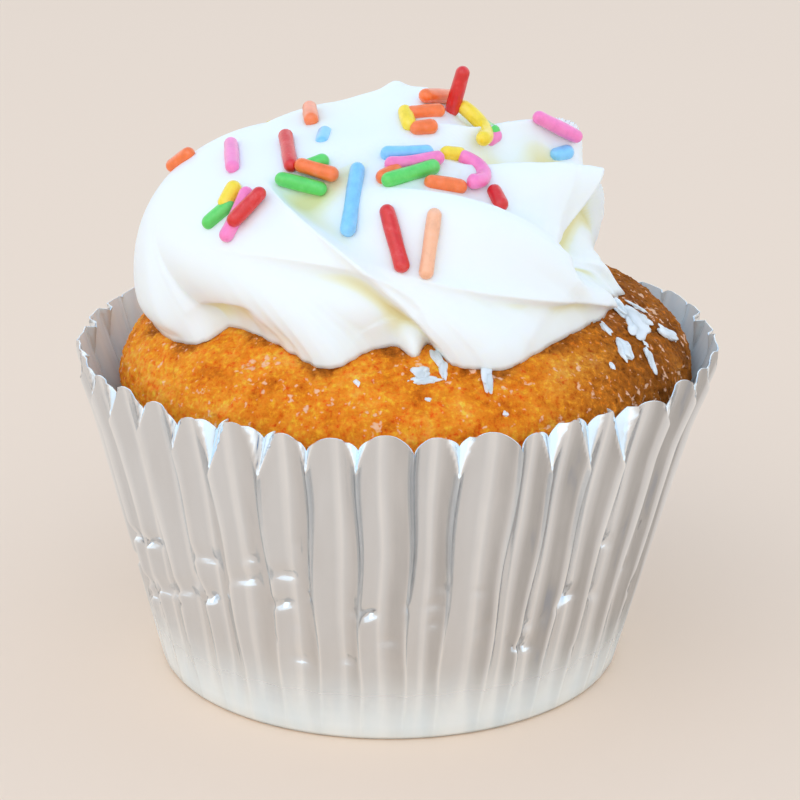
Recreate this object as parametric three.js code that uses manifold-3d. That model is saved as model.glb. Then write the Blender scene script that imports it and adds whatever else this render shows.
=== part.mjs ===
// A cupcake in a pleated foil case, with piped buttercream and sugar sprinkles.
// Millimetres, +Z up, front towards -Y. The origin is the centre of the case's base.

import * as THREE from 'three';
import { mergeVertices } from 'three/addons/utils/BufferGeometryUtils.js';
import Module from 'manifold-3d';

const wasm = await Module();
wasm.setup();

// ---------------------------------------------------------------- driving dimensions

const clearance = 0.3;          // gap kept between pieces that touch

const caseBaseRadius = 25.8;
const caseRimRadius = 35;       // at the pleats' outer ridges
const caseFlare = 0.6;          // the rim is pulled out this far at both sides
const caseHeight = 35.6;        // rim height on a ridge
const foilThickness = 0.35;
const cornerRounding = 0.6;     // chamfer between the base and the wall
const pleatCount = 40;
const pleatDepth = 1.8;         // at the rim, fading to nothing at the base
const panelRise = 1.5;          // the rim stands higher between two ridges
const backFrom = 58;            // azimuth beyond which the rim is higher, in shallower scallops
const backRise = 0.9;
const tipLength = 4.6;          // the pressed tip of a ridge, measured down from the rim

const domeRadius = 31.3;        // the cake's top is a flattened half ball
const domeSpring = 33.4;        // height at which it springs from the side
const domeRise = 12.6;
const domeFullness = 2.5;       // exponent of its profile, 2 is an ellipse
const domeShift = 1;            // it has risen a little to the right
const leanFrom = 27;            // height at which the cake starts to lean over to the right
const leanHeight = 8;
const crustRelief = 0.2;        // quarter of the depth of the baked top's dents

const icingShift = -1.8;        // the icing sits a little to the left
const icingRadius = 25.2;
const icingLeftSwell = 2.3;     // it reaches further out on the left
const icingFoot = 41.4;         // mean height of its foot on the dome
const icingHeight = 20.3;
const icingSquareness = 2.6;    // exponent of the profile, 2 is an ellipse
const swirlPerHeight = 80;      // degrees that the folds turn from foot to top
const swirlAtTop = 50;          // degrees more, gathered near the top

const sprinkleRadius = 0.8;
const seating = 0.45;           // height of a sprinkle's axis over the icing, in its radii

// ---------------------------------------------------------------- small helpers

const radians = THREE.MathUtils.degToRad;
const lerp = THREE.MathUtils.lerp;
const clamp = THREE.MathUtils.clamp;
const smooth = (x) => THREE.MathUtils.smoothstep(x, 0, 1);

// a point at an azimuth in degrees, measured from the front towards +X
function polar(azimuth, radius, z, shiftX = 0) {
  const angle = radians(azimuth);
  return new THREE.Vector3(shiftX + radius * Math.sin(angle), -radius * Math.cos(angle), z);
}

// a steady unevenness between -1 and 1 for the nth of a row of things
function uneven(n, seed) {
  return 0.6 * Math.sin(1.7 * n + seed) + 0.4 * Math.sin(4.1 * n + 2.3 * seed);
}

// one closed mesh with shared corners and no collapsed triangles
function weld(geometry) {
  const bare = geometry.clone();
  bare.deleteAttribute('normal');
  bare.deleteAttribute('uv');
  const merged = mergeVertices(bare, 1e-4);
  const index = merged.getIndex().array;
  const kept = [];
  for (let i = 0; i < index.length; i += 3) {
    const [a, b, c] = [index[i], index[i + 1], index[i + 2]];
    if (a !== b && b !== c && c !== a) {
      kept.push(a, b, c);
    }
  }
  merged.setIndex(kept);
  return merged;
}

// a lathe of rows and columns whose points are then set one by one by place(row, column)
function latheOf(rows, columns, place) {
  const profile = Array.from({ length: rows }, (_, row) => new THREE.Vector2(1, row));
  const geometry = new THREE.LatheGeometry(profile, columns);
  const position = geometry.getAttribute('position');
  for (let column = 0; column <= columns; column += 1) {
    for (let row = 0; row < rows; row += 1) {
      const point = place(row, column % columns);
      position.setXYZ(column * rows + row, point.x, point.y, point.z);
    }
  }
  return weld(geometry);
}

function toSolid(geometry) {
  const welded = weld(geometry);
  return new wasm.Manifold(new wasm.Mesh({
    numProp: 3,
    vertProperties: new Float32Array(welded.getAttribute('position').array),
    triVerts: new Uint32Array(welded.getIndex().array),
  }));
}

// joins small pieces to a body, and keeps its outer skin alone: no sealed hollow, no scrap
function fuse(body, additions) {
  let solid = toSolid(body);
  for (const addition of additions) {
    solid = solid.add(toSolid(addition));
  }
  const shells = solid.decompose();
  shells.sort((a, b) => b.volume() - a.volume());
  const mesh = shells[0].getMesh();
  const geometry = new THREE.BufferGeometry();
  geometry.setAttribute('position', new THREE.BufferAttribute(mesh.vertProperties, 3));
  geometry.setIndex(new THREE.BufferAttribute(mesh.triVerts, 1));
  return geometry;
}

function named(name, geometry, material) {
  const flat = geometry.toNonIndexed();
  flat.computeVertexNormals();
  const mesh = new THREE.Mesh(flat, material);
  mesh.name = name;
  return mesh;
}

// ---------------------------------------------------------------- materials

const foilMaterial = new THREE.MeshStandardMaterial({ color: 0xc8c7c4, roughness: 0.28, metalness: 1 });
const crumbMaterial = new THREE.MeshStandardMaterial({ color: 0xc8822f, roughness: 0.8, metalness: 0 });
const creamLook = { color: 0xf6f5ea, roughness: 0.45, metalness: 0 };
const buttercreamMaterial = new THREE.MeshStandardMaterial(creamLook);

// ---------------------------------------------------------------- foil case

// where the columns stand inside one pleat, and how far in they lie (1 = full depth)
const pleatColumns = [
  { along: 0, inward: 0 },
  { along: 0.15, inward: 0.7 },
  { along: 0.5, inward: 1 },
  { along: 0.85, inward: 0.7 },
];

const pleatPitch = 360 / pleatCount;

// ridges at the front that stand off the even spacing: their azimuths, and how far each
// one's tip is pressed in at the rim
const frontRidges = new Map([
  [34, { azimuth: -51.5, press: 1.1 }],
  [35, { azimuth: -42.2, press: 1.2 }],
  [36, { azimuth: -34.1, press: 1.6 }],
  [37, { azimuth: -24.4, press: 1.5 }],
  [38, { azimuth: -15.4, press: 1 }],
  [39, { azimuth: -6.3, press: 1.2 }],
  [0, { azimuth: 3.3, press: 0.2 }],
  [1, { azimuth: 10.8, press: 1.4 }],
  [2, { azimuth: 21.5, press: 0.2 }],
  [3, { azimuth: 28.3, press: 1.5 }],
  [4, { azimuth: 36.2, press: 1.6 }],
  [5, { azimuth: 44.6, press: 1.7 }],
]);

function ridgeAzimuth(ridge) {
  const number = ridge % pleatCount;
  const even = pleatPitch * (number + 0.18 + 0.1 * uneven(number, 1));
  const front = frontRidges.get(number);
  const azimuth = front ? THREE.MathUtils.euclideanModulo(front.azimuth, 360) : even;
  return ridge === pleatCount ? azimuth + 360 : azimuth;
}

function ridgePress(ridge) {
  const front = frontRidges.get(ridge % pleatCount);
  return front ? front.press : 0.8 + 0.5 * uneven(ridge % pleatCount, 3);
}

// 0 at the front and 1 at the back and the sides
function backness(azimuth) {
  const turned = THREE.MathUtils.euclideanModulo(azimuth + 180, 360) - 180;
  return smooth((Math.abs(turned) - backFrom) / 30);
}

function caseRadius(z, inward, azimuth) {
  const up = clamp(z / caseHeight, 0, 1);
  const ridge = lerp(caseBaseRadius, caseRimRadius, z / caseHeight);
  const nearRim = smooth((z - caseHeight + 7) / 7);
  const depth = pleatDepth * Math.pow(up, 0.8) * (1 - 0.45 * backness(azimuth) * nearRim);
  return ridge - inward * depth + caseFlare * nearRim * Math.sin(radians(azimuth)) ** 2;
}

function makeFoilCase() {
  const wall = [cornerRounding, 12, 24, caseHeight - tipLength];
  const rows = [
    { radius: 0, z: 0 },
    { radius: caseBaseRadius - cornerRounding, z: 0 },
    ...wall.map((z) => ({ z, skin: 0 })),
    { rim: true, skin: 0 },
    { rim: true, skin: foilThickness },
    ...wall.slice(1).reverse().map((z) => ({ z, skin: foilThickness })),
    { radius: caseBaseRadius - cornerRounding + 0.1, z: foilThickness },
    { radius: 0, z: foilThickness },
  ];
  const columns = pleatCount * pleatColumns.length;
  return latheOf(rows.length, columns, (row, column) => {
    const pleat = Math.floor(column / pleatColumns.length);
    const { along, inward } = pleatColumns[column % pleatColumns.length];
    const azimuth = lerp(ridgeAzimuth(pleat), ridgeAzimuth(pleat + 1), along);
    const { radius, z, skin, rim } = rows[row];
    if (radius !== undefined) {
      return polar(azimuth, radius, z);
    }
    const back = backness(azimuth);
    const arch = panelRise * Math.pow(4 * along * (1 - along), 0.7);
    const crush = inward === 0 ? 0.3 * uneven(pleat, 4) : 0;
    const edge = caseHeight + (arch + crush) * (1 - 0.55 * back) + backRise * back;
    const height = rim ? edge : z;
    const press = rim && inward === 0 ? ridgePress(pleat) : 0;
    return polar(azimuth, caseRadius(height, inward, azimuth) - skin - press, height);
  });
}

// ---------------------------------------------------------------- cake

function domeHeight(radius) {
  return domeSpring + domeRise * Math.sqrt(Math.max(0, 1 - (radius / domeRadius) ** domeFullness));
}

// height of the crust over a point of the base
function crustHeight(x, y) {
  return domeHeight(Math.hypot(x - domeShift, y));
}

function makeCakeBody() {
  const columns = 52;
  const inset = foilThickness + clearance;
  const wall = [inset, 12, 24, domeSpring - 0.6];
  const top = [0.985, 0.955, 0.92, 0.88, 0.83, 0.77, 0.68, 0.55, 0.36, 0.18, 0];
  const rows = 1 + wall.length + top.length;
  return latheOf(rows, columns, (row, column) => {
    const azimuth = 360 * column / columns;
    if (row === 0) {
      return polar(0, 0, wall[0]);
    }
    if (row <= wall.length) {
      const z = wall[row - 1];
      const corner = row === 1 ? clearance : 0;
      const radius = Math.min(caseRadius(z, 1, 0) - inset - corner - 0.1, domeRadius);
      return polar(azimuth, radius, z, domeShift * smooth((z - leanFrom) / leanHeight));
    }
    const radius = top[row - 1 - wall.length] * domeRadius;
    const height = domeHeight(radius);
    const bare = smooth((radius - icingRadius) / 4) * crustRelief;
    const dents = bare * (2 + Math.sin(radians(7 * azimuth) + radius) + Math.sin(radians(11 * azimuth)));
    return polar(azimuth, radius, height - dents, domeShift * smooth((height - leanFrom) / leanHeight));
  });
}

// a thin flake of icing on the dome, an uneven plate with its own turn
function makeFlake({ place: [x, y], length, width, turn }, number) {
  const thickness = 1.1;
  const shape = new THREE.Shape();
  const corners = 6;
  for (let corner = 0; corner < corners; corner += 1) {
    const angle = 2 * Math.PI * corner / corners;
    const reach = 0.5 * (1 + 0.2 * uneven(corner, number));
    shape[corner ? 'lineTo' : 'moveTo'](reach * length * Math.cos(angle), reach * width * Math.sin(angle));
  }
  const plate = new THREE.ExtrudeGeometry(shape, { depth: thickness, bevelEnabled: false });
  const step = 0.3;
  const east = (crustHeight(x + step, y) - crustHeight(x - step, y)) / (2 * step);
  const north = (crustHeight(x, y + step) - crustHeight(x, y - step)) / (2 * step);
  const outward = new THREE.Vector3(-east, -north, 1).normalize();
  const uphill = new THREE.Vector3(0, 0, 1).addScaledVector(outward, -outward.z).normalize();
  const lie = new THREE.Matrix4().makeBasis(uphill.clone().cross(outward), uphill, outward);
  const seat = new THREE.Vector3(x, y, crustHeight(x, y)).addScaledVector(outward, 0.3 - thickness);
  plate.rotateZ(radians(turn));
  plate.applyMatrix4(lie);
  plate.translate(seat.x, seat.y, seat.z);
  return plate;
}

const flakes = [
  { place: [23.9, -7.5], length: 3.5, width: 1.6, turn: -136 },
  { place: [26.2, -4.7], length: 2.5, width: 0.8, turn: -89 },
  { place: [26.1, -9.3], length: 4.7, width: 2.9, turn: -161 },
  { place: [26.4, -7.4], length: 3.0, width: 1.8, turn: -40 },
  { place: [29.2, -6.3], length: 3.4, width: 1.5, turn: -53 },
  { place: [22.2, -13.3], length: 2.0, width: 0.8, turn: -107 },
  { place: [24.0, -14.9], length: 3.4, width: 1.6, turn: -128 },
  { place: [26.9, -13.8], length: 2.7, width: 1.0, turn: -124 },
  { place: [2.9, -26.5], length: 2.9, width: 0.9, turn: 4 },
  { place: [2.7, -25.9], length: 1.2, width: 1.1, turn: -1 },
  { place: [2.5, -25.8], length: 1.7, width: 1.3, turn: -89 },
  { place: [4.2, -23.8], length: 2.4, width: 0.9, turn: -77 },
  { place: [4.8, -25.2], length: 2.2, width: 0.8, turn: -87 },
  { place: [9.2, -25.4], length: 3.5, width: 1.0, turn: -104 },
];

// ---------------------------------------------------------------- buttercream

// the mean form: a squared dome, by azimuth and climb (0 at the foot, 1 at the top)
function icingReach(azimuth) {
  return icingRadius + icingLeftSwell * clamp(-Math.sin(radians(azimuth)), 0, 1) ** 2;
}

function meanIcing(azimuth, climb) {
  const angle = clamp(climb, 0, 1) * Math.PI / 2;
  const power = 2 / icingSquareness;
  const radius = icingReach(azimuth) * Math.abs(Math.cos(angle)) ** power;
  const below = 30 * Math.min(climb, 0);
  return polar(azimuth, radius, icingFoot + icingHeight * Math.sin(angle) ** power + below, icingShift);
}

function meanNormal(azimuth, climb) {
  const east = meanIcing(azimuth + 0.5, climb).sub(meanIcing(azimuth - 0.5, climb));
  const up = meanIcing(azimuth, Math.min(climb + 0.01, 1)).sub(meanIcing(azimuth, Math.max(climb - 0.01, 0)));
  return east.cross(up).normalize();
}

const swirl = (climb) => -(swirlPerHeight * climb + swirlAtTop * climb ** 3);

// how far the foot reaches at each azimuth, from the middle of the swirl
const footReach = [
  [-90, 26.2], [-82.3, 25.3], [-70.6, 25], [-62.2, 24.9], [-56.8, 24.6], [-52.5, 24.3],
  [-49.9, 23.7], [-49.3, 22.7], [-48.1, 21.4], [-43.1, 21.2], [-35.5, 21.6], [-28.3, 22.2],
  [-22.1, 23.3], [-17.5, 24.3], [-14.3, 24.9], [-11.4, 25], [-8.9, 24.8], [-6.4, 24.1],
  [-3.8, 23.3], [-1.1, 22.9], [4.7, 22.9], [13.7, 23.2], [15.3, 24], [16, 25.1], [17.4, 25.8],
  [19.7, 26.4], [22.1, 26.7], [25.2, 27.2], [27.7, 27.4], [32.1, 27.3], [37.4, 26.8], [44, 26.4],
  [49.7, 26.4], [56.8, 26], [66, 26], [71.5, 26.5], [74, 25.2], [77, 25], [81, 26.4], [86.2, 27.6],
  [92, 26.4], [98, 25.4], [108, 23.8], [118, 26], [130, 26.5], [142, 24.8], [150, 23.6], [162, 26],
  [178, 26.4], [192, 24.6], [200, 23.6], [212, 25.8], [230, 26], [246, 24.8], [256, 24.6],
];

// a torn bit of the foot that hangs further out than the rest
const looseBit = { azimuth: 9, halfWidth: 2.9, reach: 2.6, climb: 0.04 };

function footRadius(azimuth) {
  const first = footReach[0][0];
  const turned = THREE.MathUtils.euclideanModulo(azimuth - first, 360) + first;
  const last = footReach.findLastIndex(([place]) => place <= turned);
  const [from, radius] = footReach[last];
  const [to, nextRadius] = footReach[last + 1] ?? [first + 360, footReach[0][1]];
  return lerp(radius, nextRadius, smooth((turned - from) / (to - from)));
}

// how far up a hollow of the foot reaches: further above the notch at the front left
function hollowReach(azimuth) {
  const turned = THREE.MathUtils.euclideanModulo(azimuth + 180, 360) - 180;
  return lerp(0.045, 0.11, smooth((turned + 58) / 8) * smooth((70 - turned) / 10));
}

// folds: each crest runs through three (azimuth, climb) points. up and down are the drops
// beside it, at its start and its end, and how far out they are deepest. lift raises it.
const folds = [
  { path: [[-44, 0.6], [-8, 0.31], [16, -0.02]], up: [3, 0.2, 3], down: [0, 1.7, 1.8], fade: [0.2, 0] },
  { path: [[-8, 0.33], [28, 0.165], [83, -0.03]], up: [1, 0, 2.5], down: [0, 2, 1.3], fade: [0.5, 0] },
  { path: [[-14, 0.64], [36, 0.44], [61, 0.07]], up: [2.6, 1.8, 3], down: [-0.8, -0.5, 4],
    lift: [2.2, 0, 4], fade: [0.5, 0.15] },
  { path: [[50, 0.19], [66, 0.055], [90, -0.02]], up: [1.8, 1.8, 2.6], down: [0, 0, 1], fade: [0.3, 0] },
  { path: [[-56, 0.27], [-2, 0.25], [12, -0.02]], up: [0, 0, 1], down: [0.9, 0.8, 1.6], fade: [0.4, 0.3] },
  { path: [[-57, 0.05], [-44, 0.1], [-31, 0.11]], up: [0, 0, 1], down: [1.1, 1.1, 1.2], fade: [0.3, 0.3] },
  { path: [[28, 0.78], [63, 0.57], [83, 0.4]], up: [2.6, 2.6, 3], down: [0, 0, 3],
    lift: [0.5, 3.8, 4], fade: [0.45, 0] },
  { path: [[89, 0.41], [72, 0.32], [50, 0.22]], up: [4.2, 2.2, 2.1], down: [0, 0, 1], fade: [0.05, 0.3] },
  { path: [[91, 0.34], [96, 0.29], [103, 0.22]], up: [0, 0, 1], down: [0, 0, 1], lift: [1.2, 1.2, 3] },
  { path: [[30, 0.9], [84, 0.7], [102, 0.5]], up: [2, 2.5, 3], down: [1.5, 1.8, 2.2],
    lift: [0.5, 4.8, 3.5], fade: [0.45, 0] },
  { path: [[104, 0.72], [132, 0.42], [160, -0.03]], up: [2.6, 1.2, 3], down: [-0.6, -0.4, 4],
    fade: [0.2, 0] },
  { path: [[150, 0.74], [178, 0.42], [208, -0.03]], up: [2.6, 1.2, 3], down: [-0.6, -0.4, 4],
    fade: [0.2, 0] },
  { path: [[196, 0.74], [226, 0.42], [256, -0.03]], up: [2.6, 1.2, 3], down: [-0.4, -0.4, 4],
    fade: [0.2, 0] },
];

const foldSteps = 24;

function foldLine({ path }) {
  const [start, through, end] = path.map(([azimuth, climb]) => new THREE.Vector2(azimuth, climb));
  const control = through.clone().multiplyScalar(2).addScaledVector(start, -0.5).addScaledVector(end, -0.5);
  const curve = new THREE.QuadraticBezierCurve(start, control, end);
  return curve.getPoints(foldSteps).map((point) => meanIcing(point.x, point.y));
}

const foldLines = folds.map(foldLine);

// the nearest place on a fold: how far off, how far along, and on which side
function nearestOnFold(line, point, normal) {
  let nearest = { distance: Infinity };
  for (let step = 0; step < foldSteps; step += 1) {
    const run = line[step + 1].clone().sub(line[step]);
    const away = point.clone().sub(line[step]);
    const share = clamp(away.dot(run) / run.lengthSq(), 0, 1);
    away.addScaledVector(run, -share);
    const distance = away.length();
    if (distance < nearest.distance) {
      const side = run.clone().cross(away).dot(normal) / Math.max(run.length() * distance, 1e-9);
      nearest = { distance, along: (step + share) / foldSteps, side: clamp(side, -1, 1) };
    }
  }
  return nearest;
}

function foldRelief(point, normal) {
  let relief = 0;
  folds.forEach(({ up, down, lift, fade = [0, 0] }, number) => {
    const { distance, along, side } = nearestOnFold(foldLines[number], point, normal);
    const entry = fade[0] ? smooth(along / fade[0]) : 1;
    const exit = fade[1] ? smooth((1 - along) / fade[1]) : 1;
    const [first, last, width] = side > 0 ? up : down;
    const offset = distance / width;
    relief -= lerp(first, last, along) * entry * exit * offset * Math.exp(1 - offset) * Math.abs(side);
    if (lift) {
      relief += lerp(lift[0], lift[1], along) * entry * exit * Math.exp(-((distance / lift[2]) ** 2));
    }
  });
  return relief;
}

// the small last turn of the swirl on top, with two blobs
function topCurl({ x, y }) {
  const spread = Math.hypot((x - 3) / 9, (y - 2) / 8);
  const blobs = [-0.1, 8.9].map((middle) => 0.8 * Math.exp(-(((x - middle) ** 2 + (y - 4) ** 2) / 1.3 ** 2)));
  return 2.4 * Math.exp(-(spread ** 3)) + blobs[0] + blobs[1];
}

function icingSurface(azimuth, climb) {
  const normal = meanNormal(azimuth, climb);
  const point = meanIcing(azimuth, climb);
  const relief = foldRelief(point, normal);
  const atFoot = azimuth - swirl(climb);
  const lobe = footRadius(atFoot) - icingReach(azimuth);
  const reach = lobe > 0 ? 0.2 : hollowReach(atFoot);
  const beside = THREE.MathUtils.euclideanModulo(azimuth - looseBit.azimuth + 180, 360) - 180;
  const fromBit = (beside / looseBit.halfWidth) ** 2 + (climb / looseBit.climb) ** 2;
  const torn = looseBit.reach * Math.exp(-fromBit);
  point.addScaledVector(normal, relief);
  point.add(polar(azimuth, lobe * Math.exp(-((Math.max(climb, 0) / reach) ** 1.5)) + torn, 0));
  point.z += topCurl(point);
  const seat = crustHeight(point.x, point.y) + clearance;
  point.z += (seat - icingFoot) * Math.exp(-((climb / 0.1) ** 2));
  return point;
}

function makeIcingBody() {
  const columns = 74;
  const under = [0, 0.3, 0.55, 0.75, 0.87, 0.95];
  const climbs = [0, 0.03, 0.065, 0.11, 0.16, 0.21, 0.26, 0.31, 0.36, 0.41, 0.46, 0.51, 0.56,
    0.61, 0.665, 0.72, 0.78, 0.85, 0.92, 1];
  return latheOf(under.length + climbs.length, columns, (row, column) => {
    const start = 360 * column / columns;
    if (row < under.length) {
      const edge = icingSurface(start, 0);
      const flat = new THREE.Vector3(icingShift, 0, 0).lerp(edge, under[row]);
      flat.z = crustHeight(flat.x, flat.y) + clearance;
      return flat;
    }
    const climb = climbs[row - under.length];
    return climb === 1 ? icingSurface(0, 0.999) : icingSurface(start + swirl(climb), climb);
  });
}

// ---------------------------------------------------------------- sprinkles

// each lies on the icing between two places, given by azimuth and climb. sink lowers it,
// in its radii, rise lifts its far end, bend is its curve in degrees.
const sprinkles = [
  { from: [-94, 0.44], to: [-90, 0.52] },
  { from: [-74, 0.66], to: [-57, 0.59] },
  { from: [-48, 0.51], to: [-47, 0.45] },
  { from: [-42, 0.5], to: [-41, 0.34], bend: 14 },
  { from: [-37, 0.5], to: [-40, 0.39], sink: -0.8 },
  { from: [-49, 0.37], to: [-46, 0.44], sink: 0.3 },
  { from: [-57, 0.78], to: [-36, 0.66] },
  { from: [-32, 0.67], to: [-20, 0.68], sink: -0.6 },
  { from: [-36, 0.6], to: [-23, 0.63], sink: -0.3 },
  { from: [-26, 0.71], to: [-30, 0.68] },
  { from: [-73, 0.88], to: [-110, 0.87] },
  { from: [-48, 0.87], to: [-38, 0.82], sink: 0.9 },
  { from: [-9, 0.7], to: [-9, 0.38], length: 9.4 },
  { from: [3, 0.49], to: [6, 0.29] },
  { from: [15, 0.45], to: [13, 0.26] },
  { from: [5, 0.77], to: [26, 0.77] },
  { from: [6, 0.7], to: [29, 0.73], bend: -16, sink: -0.4 },
  { from: [4, 0.62], to: [24, 0.7], sink: -0.2 },
  { from: [2, 0.65], to: [7, 0.68] },
  { from: [20, 0.62], to: [31, 0.6] },
  { from: [45, 0.72], to: [39, 0.58], bend: 150, length: 7.6 },
  { from: [38, 0.76], to: [45, 0.75] },
  { from: [92, 0.82], to: [68, 0.73], bend: 60, sink: -1.5 },
  { from: [71, 0.92], to: [113, 0.85], sink: -0.5 },
  { from: [38, 0.91], to: [63, 0.88] },
  { from: [31, 0.86], to: [41, 0.85] },
  { from: [33, 0.92], to: [27, 0.88] },
  { from: [84, 0.86], to: [80, 0.88], rise: 4, length: 5.8 },
  { from: [104, 0.75], to: [76, 0.73], sink: 1 },
  { from: [73, 0.73], to: [76, 0.72], sink: 0.8 },
  { from: [95, 0.62], to: [100, 0.48], sink: -0.3 },
  { from: [95, 0.5], to: [97, 0.47], sink: 0.6 },
  { from: [42, 0.53], to: [35, 0.43], length: 3.2, sink: 0.7 },
];

// the side away from the front has a thin scatter of the same
const backSprinkles = Array.from({ length: 13 }, (_, number) => {
  const azimuth = 124 + 8 * number + 5 * uneven(number, 2);
  const climb = 0.56 + 0.15 * uneven(number, 5) - 0.014 * number;
  const turn = 2.6 * uneven(number, 7);
  const reach = [8 * Math.cos(turn), 0.1 * Math.sin(turn)];
  return {
    from: [azimuth - reach[0], climb - reach[1]],
    to: [azimuth + reach[0], climb + reach[1]],
    length: 7.4,
  };
});

// a point on the icing and the direction out of it
function seatOn([azimuth, climb]) {
  const east = icingSurface(azimuth + 2, climb).sub(icingSurface(azimuth - 2, climb));
  const up = icingSurface(azimuth, climb + 0.02).sub(icingSurface(azimuth, climb - 0.02));
  return { point: icingSurface(azimuth, climb), normal: east.cross(up).normalize() };
}

// a rod along +Y about its middle, curved towards +X
function makeRod(length, bend) {
  const half = length / 2 - 0.5 * sprinkleRadius;
  const turns = radians(bend);
  const joints = bend > 30 ? [-0.4, 0, 0.4] : [];
  const body = [-1, ...joints, 1].map((share) => new THREE.Vector2(sprinkleRadius, share * half));
  const profile = [new THREE.Vector2(0, -length / 2), ...body, new THREE.Vector2(0, length / 2)];
  const rod = new THREE.LatheGeometry(profile, 6);
  if (joints.length) {
    const radius = length / turns;
    const position = rod.getAttribute('position');
    for (let point = 0; point < position.count; point += 1) {
      const turn = position.getY(point) / radius;
      const reach = radius - position.getX(point);
      position.setXY(point, radius - reach * Math.cos(turn), reach * Math.sin(turn));
    }
  }
  return rod;
}

function makeSprinkle({ from, to, length, bend = 0, sink = 0, rise = 0 }) {
  const first = seatOn(from);
  const second = seatOn(to);
  const height = (seating - sink) * sprinkleRadius;
  first.point.addScaledVector(first.normal, height);
  second.point.addScaledVector(second.normal, height + rise);
  const run = second.point.clone().sub(first.point);
  const whole = length ?? run.length() + 2 * sprinkleRadius;
  const along = run.normalize();
  const outward = first.normal.clone().add(second.normal).normalize();
  const side = along.clone().cross(outward).normalize();
  const middle = length
    ? first.point.addScaledVector(along, 0.5 * length - sprinkleRadius)
    : first.point.lerp(second.point, 0.5);
  const rod = makeRod(whole, bend);
  rod.applyMatrix4(new THREE.Matrix4().makeBasis(side, along, side.clone().cross(along)));
  rod.translate(middle.x, middle.y, middle.z);
  return rod;
}

// ---------------------------------------------------------------- assembly

const cupcake = new THREE.Group();
cupcake.add(named('foil_case', makeFoilCase(), foilMaterial));
cupcake.add(named('cake', fuse(makeCakeBody(), flakes.map(makeFlake)), crumbMaterial));
cupcake.add(named('buttercream', fuse(makeIcingBody(), [...sprinkles, ...backSprinkles].map(makeSprinkle)),
  buttercreamMaterial));

export default cupcake;
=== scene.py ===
import math
import random

import bmesh
import bpy
import numpy as np
from mathutils import Matrix, Vector, noise


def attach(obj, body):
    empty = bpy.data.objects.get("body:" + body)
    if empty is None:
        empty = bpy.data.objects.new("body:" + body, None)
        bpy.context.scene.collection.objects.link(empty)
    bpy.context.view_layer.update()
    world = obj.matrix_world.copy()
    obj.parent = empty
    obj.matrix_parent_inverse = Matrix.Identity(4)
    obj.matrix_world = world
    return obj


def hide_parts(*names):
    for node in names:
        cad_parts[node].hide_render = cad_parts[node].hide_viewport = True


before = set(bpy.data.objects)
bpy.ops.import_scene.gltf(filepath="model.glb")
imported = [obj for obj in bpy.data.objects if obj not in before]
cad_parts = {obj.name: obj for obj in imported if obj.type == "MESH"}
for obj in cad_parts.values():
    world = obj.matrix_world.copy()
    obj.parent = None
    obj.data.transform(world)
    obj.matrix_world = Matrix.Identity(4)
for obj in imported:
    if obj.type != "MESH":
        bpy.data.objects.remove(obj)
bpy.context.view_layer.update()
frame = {"nodes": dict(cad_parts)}
print("frame loaded:", ", ".join(frame["nodes"]))

mm = 0.001               # sizes below are in millimetres, objects are in metres


# small helpers

def smooth(x):
    x = np.clip(x, 0.0, 1.0)
    return x * x * (3.0 - 2.0 * x)


def mix(a, b, share):
    return a + (b - a) * share


def uneven(n, seed):
    return 0.6 * math.sin(1.7 * n + seed) + 0.4 * math.sin(4.1 * n + 2.3 * seed)


def meshObject(bm, name, material, shadeSmooth=True):
    mesh = bpy.data.meshes.new(name)
    bm.to_mesh(mesh)
    bm.free()
    mesh.materials.append(material)
    if shadeSmooth:
        mesh.polygons.foreach_set("use_smooth", [True] * len(mesh.polygons))
    piece = bpy.data.objects.new(name, mesh)
    bpy.context.scene.collection.objects.link(piece)
    return piece


def readPoints(bm):
    return np.array([v.co[:] for v in bm.verts]) / mm


def writePoints(bm, points):
    for vert, point in zip(bm.verts, points * mm):
        vert.co = point


def closeUp(bm, distance=0.002):
    bmesh.ops.remove_doubles(bm, verts=bm.verts, dist=distance * mm)
    bmesh.ops.recalc_face_normals(bm, faces=bm.faces)


def spunProfile(profile, steps):
    # a profile of (radius, height) turned once round the upright axis
    bm = bmesh.new()
    verts = [bm.verts.new((0.0, -radius * mm, z * mm)) for radius, z in profile]
    edges = [bm.edges.new(pair) for pair in zip(verts, verts[1:])]
    bmesh.ops.spin(bm, geom=verts + edges, cent=(0, 0, 0), axis=(0, 0, 1), angle=2 * math.pi,
                   steps=steps, use_merge=True, use_duplicate=False)
    closeUp(bm)
    return bm


# materials

def newMaterial(name):
    material = bpy.data.materials.new(name)
    material.use_nodes = True
    nodes = material.node_tree.nodes
    shader = nodes["Principled BSDF"]
    coords = nodes.new("ShaderNodeTexCoord")
    return material, nodes, material.node_tree.links, shader, coords.outputs["Object"]


def noiseNode(nodes, links, coords, scale, detail=4.0, rough=0.5, stretch=None):
    if stretch:
        mapping = nodes.new("ShaderNodeMapping")
        mapping.inputs["Scale"].default_value = stretch
        links.new(coords, mapping.inputs["Vector"])
        coords = mapping.outputs["Vector"]
    node = nodes.new("ShaderNodeTexNoise")
    node.inputs["Scale"].default_value = scale
    node.inputs["Detail"].default_value = detail
    node.inputs["Roughness"].default_value = rough
    links.new(coords, node.inputs["Vector"])
    return node.outputs["Fac"]


def rampNode(nodes, links, value, stops):
    node = nodes.new("ShaderNodeValToRGB")
    ramp = node.color_ramp
    while len(ramp.elements) < len(stops):
        ramp.elements.new(0.5)
    for element, (place, colour) in zip(ramp.elements, stops):
        element.position = place
        element.color = (*colour, 1.0)
    links.new(value, node.inputs["Fac"])
    return node.outputs["Color"]


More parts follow.
